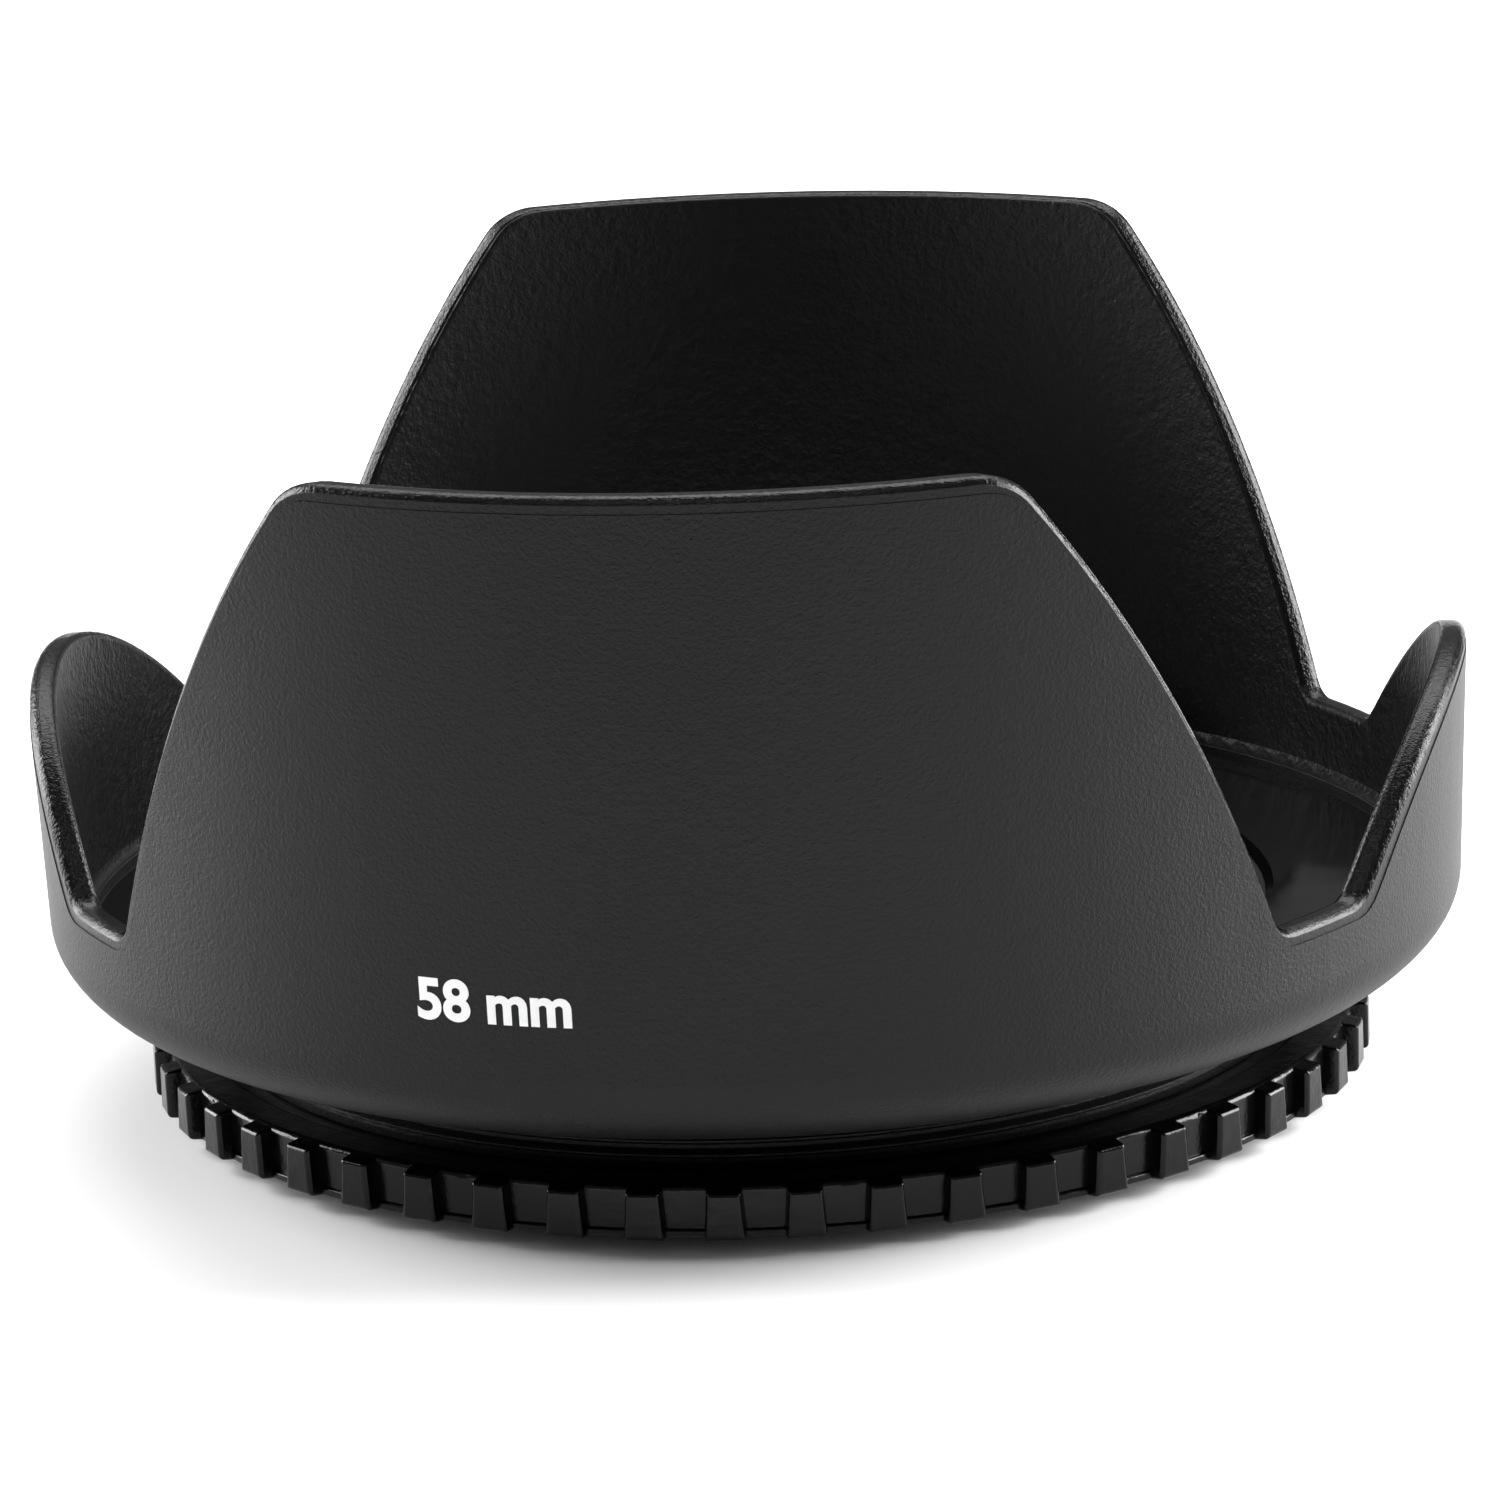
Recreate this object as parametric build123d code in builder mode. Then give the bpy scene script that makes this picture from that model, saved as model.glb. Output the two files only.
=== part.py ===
"""Tulip lens hood with a screw-in neck and a ribbed lock ring.

Millimetres. +Z runs along the optical axis, away from the lens, and the origin is at the
middle of the neck's tip, so the hood stands on z = 0. The two long petals are centred on -Y
and +Y, and the two short ones on -X and +X. Angles round the hood are counted from -Y
towards +X.
"""

from build123d import *
from math import cos, hypot, radians, sin, tan
import os

os.makedirs("parts", exist_ok=True)

# ---- filter thread, M58 x 0.75, right-hand ----
thread_major_r = 28.95
thread_pitch = 0.75
thread_turns = 7
thread_crest = thread_pitch / 8
thread_root = thread_pitch / 4
thread_flank = (thread_pitch - thread_crest - thread_root) / 2
thread_flank_angle = 30.0
thread_depth = thread_flank / tan(radians(thread_flank_angle))
thread_root_r = thread_major_r - thread_depth

# ---- neck ----
neck_length = 6.0
neck_wall = 1.3
neck_bore_r = thread_root_r - neck_wall

# ---- bowl: outside it is a quarter ellipse, inside a floor with a ledge round it ----
shoulder_width = 0.8
shoulder_r = thread_major_r + shoulder_width
bowl_overhang = 8.3
bowl_depth = 4.8
floor_height = 9.5
floor_dish = 0.25
mouth_bevel = 0.75
ledge_width = 0.6
ledge_height = 0.6
ledge_edge_round = 0.06
ledge_corner_round = 0.5

# ---- petal wall ----
wall_thickness = 1.5
wall_flare = 1.15
wall_base_r = shoulder_r + bowl_overhang
wall_base_z = neck_length + bowl_depth

# ---- petal outline ----
hood_height = 40.7
notch_height = 14.2
notch_angle = 57.0
notch_corner_r = 1.4
long_petal_foot_angle = 51.5
long_petal_top_angle = 27.3
long_petal_bulge = 0.87
long_petal_corner_r = 3.3
short_petal_height = 23.8
short_petal_side_rise = 2.1
short_petal_side_angle = 50.0

# ---- rim of the petals: rounded edges, and a fine step on the outer skin beside it ----
rim_outer_round = 0.65
rim_inner_round = 0.4
rim_land = 0.85
rim_land_step = 0.06

# ---- lock ring: a sleeve on the thread, and round it the ribbed band ----
ring_lift = 1.0
ring_height = 2.65
ring_bore_clearance = 0.05
ring_sleeve_wall = 1.2
ring_turn_clearance = 0.05
ring_band_wall = 1.95
ring_edge_round = 0.35
ring_sleeve_chamfer = 0.3
ring_lip_height = 0.35
ring_lip_out = 0.2
ring_lip_round = 0.12

# ---- ribs on the lock ring ----
rib_count = 50
rib_out = 0.8
rib_width_top = 1.95
rib_width_foot = 2.35
rib_below = 0.2
rib_top_gap = 0.05
rib_round = 0.25
rib_root = 0.4
rib_taper = 8.0

# ---- cutting solids reach this far past what they cut ----
past = 3.0
cutter_start = thread_root_r / 3
cutter_reach = wall_base_r + wall_flare + past - cutter_start


def wall_r(z):
    """Outside radius of the petal wall at height z."""
    return wall_base_r + wall_flare * (z - wall_base_z) / (hood_height - wall_base_z)


def across(z, angle):
    """Distance of the wall's middle from the notch's own centre line, at a height and angle."""
    return (wall_r(z) - wall_thickness / 2) * sin(radians(angle - notch_angle))


def upright_plane(angle):
    """Upright plane that faces out at an angle; its x runs round the hood and its y is up."""
    a = radians(angle)
    out = Vector(sin(a), -cos(a), 0)
    return Plane(origin=out * cutter_start, x_dir=(cos(a), sin(a), 0), z_dir=out)


# ---- hood body, turned: thread, shoulder, bowl, wall, ledge, floor and bore ----
thread_points = [(neck_bore_r, 0), (thread_root_r, 0)]
for turn in range(thread_turns):
    crest_z = (turn + 0.5) * thread_pitch
    thread_points += [
        (thread_root_r, crest_z - thread_crest / 2 - thread_flank),
        (thread_major_r, crest_z - thread_crest / 2),
        (thread_major_r, crest_z + thread_crest / 2),
        (thread_root_r, crest_z + thread_crest / 2 + thread_flank),
    ]
thread_points += [(thread_root_r, neck_length), (shoulder_r, neck_length)]

top_z = hood_height + past
ledge_z = floor_height + ledge_height
wall_inside_r = wall_r(ledge_z) - wall_thickness
ledge_r = wall_inside_r - ledge_width
mouth_r = neck_bore_r + mouth_bevel

# the seam of the turned faces lies in a notch, clear of every petal
seam = radians(notch_angle)
seam_plane = Plane(
    origin=(0, 0, 0), x_dir=(sin(seam), -cos(seam), 0), z_dir=(-cos(seam), -sin(seam), 0)
)

with BuildPart() as turned:
    with BuildSketch(seam_plane) as profile:
        with BuildLine():
            Polyline(thread_points)
            EllipticalCenterArc(
                (shoulder_r, wall_base_z), bowl_overhang, bowl_depth, start_angle=-90, arc_size=90
            )
            Polyline(
                (wall_base_r, wall_base_z),
                (wall_r(top_z), top_z),
                (wall_r(top_z) - wall_thickness, top_z),
                (wall_inside_r, ledge_z),
                (ledge_r, ledge_z),
                (ledge_r, floor_height),
            )
            ThreePointArc(
                (ledge_r, floor_height),
                ((ledge_r + mouth_r) / 2, floor_height - floor_dish),
                (mouth_r, floor_height),
            )
            Polyline(
                (mouth_r, floor_height),
                (neck_bore_r, floor_height - mouth_bevel),
                (neck_bore_r, 0),
            )
        make_face()
        fillet(profile.vertices().sort_by_distance((wall_inside_r, ledge_z))[0], ledge_corner_round)
        fillet(profile.vertices().sort_by_distance((ledge_r, ledge_z))[0], ledge_edge_round)
    revolve(axis=Axis.Z)

# ---- long petal: its foot on the notch floor, its top corner, and the bulge of its side ----
foot_s = across(notch_height, long_petal_foot_angle)
corner_s = across(hood_height, long_petal_top_angle)
side_rise = hood_height - notch_height
side_length = hypot(corner_s - foot_s, side_rise)
bulge_s = (foot_s + corner_s) / 2 + long_petal_bulge * side_rise / side_length
bulge_z = (notch_height + hood_height) / 2 + long_petal_bulge * (foot_s - corner_s) / side_length

# ---- short petal: a round top, and straight sides that leave it at their own angle ----
side_angle = radians(short_petal_side_angle)
side_top_z = notch_height + short_petal_side_rise
short_petal_top_r = (short_petal_height - side_top_z) / (1 - cos(side_angle))
side_top_y = short_petal_top_r * sin(side_angle)
side_foot_y = side_top_y + short_petal_side_rise / tan(side_angle)

# the two cuts of a notch share its level floor, and overlap about its middle
share = notch_corner_r / 2
floor_y = (wall_r(notch_height) - wall_thickness) * cos(radians(notch_angle)) + 2 * share


def cut_away(grow):
    """What the moulding leaves open above the notches, grown by a margin on every side."""
    with BuildPart() as open_space:
        with BuildSketch(upright_plane(notch_angle)) as beside_long_petal:
            with BuildLine():
                Polyline((share, notch_height), (foot_s, notch_height))
                ThreePointArc(
                    (foot_s, notch_height), (bulge_s, bulge_z), (corner_s, hood_height)
                )
                Polyline(
                    (corner_s, hood_height),
                    (across(hood_height, -past), hood_height),
                    (across(hood_height, -past), top_z + past),
                    (share, top_z + past),
                    (share, notch_height),
                )
            make_face()
            for corner, radius in (
                ((foot_s, notch_height), notch_corner_r),
                ((corner_s, hood_height), long_petal_corner_r),
            ):
                fillet(beside_long_petal.vertices().sort_by_distance(corner)[0], radius)
            if grow:
                offset(amount=grow)
        extrude(amount=cutter_reach)
        with BuildSketch(upright_plane(90)) as over_short_petal:
            with BuildLine():
                Polyline(
                    (side_top_y, side_top_z), (side_foot_y, notch_height), (floor_y, notch_height)
                )
                Polyline(
                    (floor_y, notch_height),
                    (floor_y, top_z + past),
                    (-floor_y, top_z + past),
                    (-floor_y, notch_height),
                )
                Polyline(
                    (-floor_y, notch_height),
                    (-side_foot_y, notch_height),
                    (-side_top_y, side_top_z),
                )
                ThreePointArc(
                    (-side_top_y, side_top_z), (0, short_petal_height), (side_top_y, side_top_z)
                )
            make_face()
            for corner_y in (-side_foot_y, side_foot_y):
                corner = (corner_y, notch_height)
                fillet(over_short_petal.vertices().sort_by_distance(corner)[0], notch_corner_r)
            if grow:
                offset(amount=grow)
        extrude(amount=cutter_reach)
        mirror(about=Plane.XZ)
        mirror(about=Plane.YZ)
    return open_space.part


def rim_edges(part, wall_inset):
    """Edges of the petals' rim that lie on one skin of the wall."""
    found = ShapeList()
    for edge in part.edges():
        middle = edge @ 0.5
        off_skin = hypot(middle.X, middle.Y) - (wall_r(middle.Z) - wall_inset)
        if abs(off_skin) < rim_land_step / 2 and middle.Z > notch_height - rim_land_step:
            found.append(edge)
    return found


with BuildPart() as outer_skin:
    with BuildSketch(Plane.XZ):
        with BuildLine():
            Polyline(
                (wall_r(wall_base_z) - rim_land_step, wall_base_z),
                (wall_r(wall_base_z) + past, wall_base_z),
                (wall_r(top_z) + past, top_z),
                (wall_r(top_z) - rim_land_step, top_z),
                (wall_r(wall_base_z) - rim_land_step, wall_base_z),
            )
        make_face()
    revolve(axis=Axis.Z)
    add(cut_away(rim_land), mode=Mode.INTERSECT)

with BuildPart() as hood_body:
    add(turned.part)
    add(cut_away(0), mode=Mode.SUBTRACT)
    fillet(rim_edges(hood_body, wall_thickness), rim_inner_round)
    fillet(rim_edges(hood_body, 0), rim_outer_round)
    add(outer_skin.part, mode=Mode.SUBTRACT)

# ---- lock ring's sleeve ----
ring_bore_r = thread_major_r + ring_bore_clearance
sleeve_r = ring_bore_r + ring_sleeve_wall
band_bore_r = sleeve_r + ring_turn_clearance
panel_r = band_bore_r + ring_band_wall
ring_top_z = ring_lift + ring_height

with BuildPart() as lock_ring_sleeve:
    with BuildSketch(Plane.XY.offset(ring_lift)):
        Circle(sleeve_r)
        Circle(ring_bore_r, mode=Mode.SUBTRACT)
    extrude(amount=ring_height)
    bore_edges = lock_ring_sleeve.edges().filter_by(GeomType.CIRCLE).filter_by(
        lambda edge: edge.radius < (ring_bore_r + sleeve_r) / 2
    )
    chamfer(bore_edges, ring_sleeve_chamfer)

# ---- one rib, facing -Y; the first two stand half a pitch to either side of it ----
rib_foot_z = ring_lift - rib_below
rib_top_z = ring_top_z - rib_top_gap

with BuildPart() as rib:
    with BuildSketch(
        Plane(origin=(0, rib_root - panel_r, 0), x_dir=(1, 0, 0), z_dir=(0, -1, 0))
    ) as rib_outline:
        with BuildLine():
            Polyline(
                (-rib_width_foot / 2, rib_foot_z),
                (rib_width_foot / 2, rib_foot_z),
                (rib_width_top / 2, rib_top_z),
                (-rib_width_top / 2, rib_top_z),
                (-rib_width_foot / 2, rib_foot_z),
            )
        make_face()
        fillet(rib_outline.vertices(), rib_round)
    extrude(amount=rib_root + rib_out, taper=rib_taper)
    fillet(rib.faces().sort_by(Axis.Y)[0].edges(), rib_round)

# ---- lock ring's band, with a lip round its foot and the ribs round it ----
lip_r = panel_r + ring_lip_out

with BuildPart() as lock_ring:
    with BuildSketch(Plane.XZ) as band_profile:
        with BuildLine():
            Polyline(
                (band_bore_r, ring_lift),
                (lip_r, ring_lift),
                (lip_r, ring_lift + ring_lip_height),
                (panel_r, ring_lift + ring_lip_height),
                (panel_r, ring_top_z),
                (band_bore_r, ring_top_z),
                (band_bore_r, ring_lift),
            )
        make_face()
        top_edge = band_profile.vertices().sort_by_distance((panel_r, ring_top_z))[0]
        fillet(top_edge, ring_edge_round)
        lip_edge = band_profile.vertices().sort_by_distance((lip_r, ring_lift + ring_lip_height))[0]
        fillet(lip_edge, ring_lip_round)
    revolve(axis=Axis.Z)
    with PolarLocations(0, rib_count, start_angle=180 / rib_count):
        add(rib.part)

# ---- hand over ----
hood_body.part.label = "hood_body"
lock_ring_sleeve.part.label = "lock_ring_sleeve"
lock_ring.part.label = "lock_ring"

export_step(hood_body.part, "parts/hood_body.step")
export_step(lock_ring_sleeve.part, "parts/lock_ring_sleeve.step")
export_step(lock_ring.part, "parts/lock_ring.step")
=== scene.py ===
"""Looks of the petal lens hood and its lock ring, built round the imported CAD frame. Metres, +Z up."""

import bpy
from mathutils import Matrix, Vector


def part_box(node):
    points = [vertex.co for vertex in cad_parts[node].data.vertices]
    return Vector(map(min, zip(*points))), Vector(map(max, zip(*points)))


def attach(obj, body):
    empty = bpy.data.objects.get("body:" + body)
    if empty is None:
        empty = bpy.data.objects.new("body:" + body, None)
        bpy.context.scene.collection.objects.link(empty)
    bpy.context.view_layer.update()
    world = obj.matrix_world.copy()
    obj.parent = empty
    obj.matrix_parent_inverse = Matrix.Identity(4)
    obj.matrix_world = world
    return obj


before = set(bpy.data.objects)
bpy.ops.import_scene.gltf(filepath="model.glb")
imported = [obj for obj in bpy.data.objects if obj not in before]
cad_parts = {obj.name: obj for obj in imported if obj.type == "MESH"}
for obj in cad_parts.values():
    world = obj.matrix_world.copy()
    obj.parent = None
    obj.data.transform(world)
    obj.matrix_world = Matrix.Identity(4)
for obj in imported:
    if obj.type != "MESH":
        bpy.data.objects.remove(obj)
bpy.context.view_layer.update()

from math import cos, radians, sin

import bpy
from mathutils import Matrix, Vector

MM = 0.001
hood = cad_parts["hood_body"]

# ---- the hood's wall, as the CAD has it: a cone that opens upwards ----
wall_base_r = 38.05 * MM
wall_base_z = 10.8 * MM
wall_top_widening = 1.15 * MM
wall_flare = wall_top_widening / (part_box("hood_body")[1].z - wall_base_z)
notch_z = 14.2 * MM
floor_z = 9.5 * MM
ledge_z = 10.1 * MM
floor_r = 35.8 * MM
bore_r = 27.24 * MM

# ---- each finish starts and ends over a narrow band; depth is counted inwards from the skin ----
rim_starts_depth = (0.03 * MM, 0.12 * MM)
rim_ends_depth = (1.35 * MM, 1.45 * MM)
inside_starts_depth = (1.38 * MM, 1.46 * MM)
rim_starts_z = (notch_z - 1.2 * MM, notch_z - 0.8 * MM)
inside_starts_z = (ledge_z, ledge_z + 0.3 * MM)
floor_starts_r = (bore_r + 0.1 * MM, bore_r + 0.2 * MM)
floor_ends_r = (floor_r, floor_r + 0.1 * MM)
floor_starts_z = (floor_z - 0.5 * MM, floor_z - 0.4 * MM)
floor_ends_z = (ledge_z - 0.1 * MM, ledge_z)
rib_tips_r = (32.4 * MM, 32.95 * MM)

# ---- how far the grain stands up, in millimetres for the whole range of its noise ----
skin_grain = 0.05
inside_grain = 0.09
rim_grain = 0.05
floor_wave = 0.05
ring_wave = 0.05
ring_grain = 0.012
ink_grain = 0.006

# ---- both plastics shine weakly ----
plastic_specular = 0.22


def wall_r(z):
    """Outside radius of the petal wall at height z."""
    return wall_base_r + wall_flare * (z - wall_base_z)


# ---- camera ----
view_azimuth = radians(7.52)
view_elevation = radians(15.07)
view_roll = radians(2.35)
view_distance = 397.7 * MM
view_point = Vector((0, 0, 0.8 * MM))
view_rise = 16.15 * MM
lens_length = 175.2
sensor_width = 36
clip_start = 0.02
clip_end = 50


def set_camera():
    """A long lens a little to the right of the front petal's middle, looking slightly down."""
    forward = Vector((
        -sin(view_azimuth) * cos(view_elevation),
        cos(view_azimuth) * cos(view_elevation),
        -sin(view_elevation),
    ))
    level_right = Vector((cos(view_azimuth), sin(view_azimuth), 0))
    level_up = level_right.cross(forward)
    right = level_right * cos(view_roll) - level_up * sin(view_roll)
    up = level_right * sin(view_roll) + level_up * cos(view_roll)
    turn = Matrix((right, up, -forward)).transposed()
    place = view_point - forward * view_distance + level_up * view_rise
    bpy.ops.object.camera_add(location=place, rotation=turn.to_euler())
    camera = bpy.context.object
    camera.name = "camera"
    camera.data.lens = lens_length
    camera.data.sensor_width = sensor_width
    camera.data.clip_start = clip_start
    camera.data.clip_end = clip_end
    bpy.context.scene.camera = camera


# ---- materials ----
class Mix:
    """A material under construction: its nodes, with short calls that add one and feed its inputs."""

    def __init__(self, name):
        self.material = bpy.data.materials.new(name)
        self.material.use_nodes = True
        self.tree = self.material.node_tree
        self.shader = self.tree.nodes["Principled BSDF"]
        self.place = self.tree.nodes.new("ShaderNodeTexCoord").outputs["Object"]
        split = self.tree.nodes.new("ShaderNodeSeparateXYZ")
        self.tree.links.new(self.place, split.inputs[0])
        self.z = split.outputs["Z"]
        x_square = self.math("POWER", split.outputs["X"], 2)
        y_square = self.math("POWER", split.outputs["Y"], 2)
        self.r = self.math("SQRT", self.math("ADD", x_square, y_square))

    def feed(self, socket, value):
        """Links a node's output to the socket, or sets a plain value on it."""
        if isinstance(value, bpy.types.NodeSocket):
            self.tree.links.new(value, socket)
        else:
            socket.default_value = value

    def math(self, operation, a, b=0.0, c=0.0):
        node = self.tree.nodes.new("ShaderNodeMath")
        node.operation = operation
        for socket, value in zip(node.inputs, (a, b, c)):
            self.feed(socket, value)
        return node.outputs[0]

    def times(self, a, b):
        return self.math("MULTIPLY", a, b)

    def ranged(self, value, gain, least):
        """value times gain, plus least."""
        return self.math("MULTIPLY_ADD", value, gain, least)

    def step(self, value, band, at_low=0.0, at_high=1.0):
        """at_low where the value is under the band, at_high where it is over it, smooth inside it."""
        node = self.tree.nodes.new("ShaderNodeMapRange")
        node.interpolation_type = "SMOOTHSTEP"
        for socket, given in zip(node.inputs, (value, *band, at_low, at_high)):
            self.feed(socket, given)
        return node.outputs[0]

    def within(self, value, starts, ends):
        """1 between the two bands, 0 outside them."""
        return self.times(self.step(value, starts), self.step(value, ends, 1, 0))

    def blend(self, share, a, b):
        """a where share is 0, b where it is 1."""
        return self.math("ADD", a, self.times(share, self.math("SUBTRACT", b, a)))

    def noise(self, size, detail=2.0, roughness=0.5):
        """Soft noise, about 0 to 1, with blotches of about this size."""
        node = self.tree.nodes.new("ShaderNodeTexNoise")
        self.feed(node.inputs["Scale"], 1 / size)
        self.feed(node.inputs["Detail"], detail)
        self.feed(node.inputs["Roughness"], roughness)
        self.feed(node.inputs["Vector"], self.place)
        return node.outputs["Fac"]

    def grey(self, value):
        node = self.tree.nodes.new("ShaderNodeCombineColor")
        for socket in node.inputs:
            self.feed(socket, value)
        return node.outputs[0]

    def bump(self, height, depth):
        """A surface that goes up and down by height times depth, which is in metres."""
        node = self.tree.nodes.new("ShaderNodeBump")
        self.feed(node.inputs["Height"], height)
        self.feed(node.inputs["Distance"], depth)
        self.feed(node.inputs["Strength"], 1.0)
        self.tree.links.new(node.outputs["Normal"], self.shader.inputs["Normal"])

    def finish(self, color, roughness):
        self.feed(self.shader.inputs["Base Color"], color)
        self.feed(self.shader.inputs["Roughness"], roughness)
        return self.material


def hood_plastic():
    """Black moulded plastic: leathery outside, glossy speckled rim, dull inside whose darker base
    colour is painted shade in the hollow, smooth floor.
    """
    m = Mix("hood_plastic")
    wall = m.ranged(m.z, wall_flare, wall_base_r - wall_flare * wall_base_z)
    depth = m.math("SUBTRACT", wall, m.r)
    inside = m.times(m.step(depth, inside_starts_depth), m.step(m.z, inside_starts_z))
    rim = m.times(m.within(depth, rim_starts_depth, rim_ends_depth), m.step(m.z, rim_starts_z))
    on_floor = m.within(m.r, floor_starts_r, floor_ends_r)
    basin = m.times(on_floor, m.within(m.z, floor_starts_z, floor_ends_z))

    leather = m.noise(0.22 * MM, detail=3, roughness=0.55)
    skin = m.ranged(m.noise(0.1 * MM, detail=1), 0.35, leather)
    speckle = m.noise(0.2 * MM, roughness=0.7)
    mottle = m.noise(0.8 * MM, detail=3, roughness=0.65)
    dull = m.ranged(m.noise(0.32 * MM, roughness=0.6), 0.6, mottle)
    wave = m.noise(5 * MM, detail=1)
    patch = m.noise(9 * MM)

    height = m.blend(inside, m.times(skin, skin_grain), m.times(dull, inside_grain))
    height = m.blend(rim, height, m.times(speckle, rim_grain))
    height = m.blend(basin, height, m.times(wave, floor_wave))
    m.bump(height, MM)

    rough = m.ranged(patch, gain=0.06, least=0.42)
    rough = m.blend(inside, rough, m.ranged(mottle, gain=0.16, least=0.34))
    rough = m.blend(rim, rough, m.ranged(speckle, gain=0.14, least=0.12))
    rough = m.blend(basin, rough, m.ranged(patch, gain=0.06, least=0.09))

    rim_tone = 0.0004
    floor_tone = 0.001
    tone = m.ranged(leather, gain=0.003, least=0.0008)
    # the inside gets a darker base colour than the skin: painted shade in the hollow of the hood
    tone = m.blend(inside, tone, m.ranged(mottle, gain=0.001, least=0.0006))
    tone = m.blend(rim, tone, rim_tone)
    tone = m.blend(basin, tone, floor_tone)
    m.feed(m.shader.inputs["Specular IOR Level"], plastic_specular)
    return m.finish(m.grey(tone), rough)


def ring_plastic():
    """Black satin plastic, a little polished on the ribs' tips, slightly uneven all over."""
    m = Mix("ring_plastic")
    tips = m.step(m.r, rib_tips_r)
    fine = m.noise(0.16 * MM, roughness=0.6)
    patch = m.noise(1.4 * MM, detail=3, roughness=0.6)
    m.bump(m.ranged(patch, ring_wave, m.times(fine, ring_grain)), MM)
    tip_polish = 0.04
    rough = m.math("SUBTRACT", m.ranged(patch, gain=0.14, least=0.12), m.times(tips, tip_polish))
    tone = m.ranged(fine, gain=0.0008, least=0.0004)
    m.feed(m.shader.inputs["Specular IOR Level"], plastic_specular)
    return m.finish(m.grey(tone), rough)


def floor_paint():
    """Matt near-white paint, very slightly uneven."""
    m = Mix("pale_floor")
    matt = 0.75
    return m.finish(m.grey(m.ranged(m.noise(0.4), gain=0.01, least=0.9)), matt)


def print_white():
    """Pad-printed white ink, a touch thin in places."""
    m = Mix("print_white")
    satin = 0.5
    thin = m.noise(0.5 * MM, detail=3, roughness=0.6)
    m.bump(m.noise(0.24 * MM, detail=3, roughness=0.6), ink_grain * MM)
    return m.finish(m.grey(m.ranged(thin, gain=0.1, least=0.82)), satin)


def assign(piece, material):
    piece.data.materials.clear()
    piece.data.materials.append(material)


# ---- the size printed on the front petal ----
mark_angle = radians(-18.9)
mark_baseline_z = 13.8 * MM
mark_letter_size = 2.95 * MM
mark_boldness = 0.03
mark_curve_steps = 8
mark_ink = 0.012 * MM


def size_mark():
    """The filter size in white, laid round the skin low on the left of the front petal."""
    bpy.ops.object.text_add(location=(0, 0, 0))
    mark = bpy.context.object
    mark.name = "size_mark"
    mark.data.body = "58 mm"
    mark.data.size = mark_letter_size
    mark.data.offset = mark_boldness * mark_letter_size
    mark.data.extrude = mark_ink
    mark.data.resolution_u = mark_curve_steps
    bpy.ops.object.convert(target="MESH")
    mark = bpy.context.object
    for point in mark.data.vertices:
        along, up, out = point.co
        z = mark_baseline_z + up
        r = wall_r(z) + mark_ink + out
        angle = mark_angle + along / wall_r(mark_baseline_z)
        point.co = (r * sin(angle), -r * cos(angle), z)
    assign(mark, print_white())
    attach(mark, "hood")


# ---- floor and light ----
floor_width = 1.4
white = (1, 1, 1, 1)
room_strength = 0.22
light_aim = Vector((0, 0, 0.02))
# name, place, size and watts of each lamp
softboxes = (
    ("left_softbox", (-0.7, 0.2, 0.3), (0.5, 0.6), 12),
    ("right_softbox", (0.7, 0.2, 0.3), (0.5, 0.6), 19),
    ("back_softbox", (0, 0.45, 0.8), (0.9, 0.5), 7),
    ("front_strip", (0, -0.3, 0.6), (0.5, 0.04), 0.4),
)


def set_stage():
    bpy.ops.mesh.primitive_plane_add(size=floor_width, location=(0, 0, 0))
    floor = bpy.context.object
    floor.name = "floor"
    assign(floor, floor_paint())


def softbox(name, place, size, power):
    """An oblong lamp that faces the object."""
    bpy.ops.object.light_add(type="AREA", location=place)
    lamp = bpy.context.object
    lamp.name = name
    lamp.data.shape = "RECTANGLE"
    lamp.data.size, lamp.data.size_y = size
    lamp.data.energy = power
    lamp.rotation_euler = (light_aim - Vector(place)).to_track_quat("-Z", "Y").to_euler()


def set_room():
    """A dim white room for light and reflections, behind which the backdrop shows full white."""
    world = bpy.data.worlds.new("studio_white")
    world.use_nodes = True
    nodes, links = world.node_tree.nodes, world.node_tree.links
    room = nodes["Background"]
    room.inputs["Color"].default_value = white
    room.inputs["Strength"].default_value = room_strength
    backdrop = nodes.new("ShaderNodeBackground")
    backdrop.inputs["Color"].default_value = white
    seen = nodes.new("ShaderNodeLightPath")
    choose = nodes.new("ShaderNodeMixShader")
    links.new(seen.outputs["Is Camera Ray"], choose.inputs["Fac"])
    links.new(room.outputs["Background"], choose.inputs[1])
    links.new(backdrop.outputs["Background"], choose.inputs[2])
    links.new(choose.outputs["Shader"], nodes["World Output"].inputs["Surface"])
    bpy.context.scene.world = world
    bpy.context.scene.view_settings.view_transform = "Standard"


bpy.ops.object.select_all(action="DESELECT")
set_camera()
set_stage()
set_room()
for lamp_values in softboxes:
    softbox(*lamp_values)
assign(hood, hood_plastic())
size_mark()
ring_finish = ring_plastic()
assign(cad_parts["lock_ring"], ring_finish)
assign(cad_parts["lock_ring_sleeve"], ring_finish)
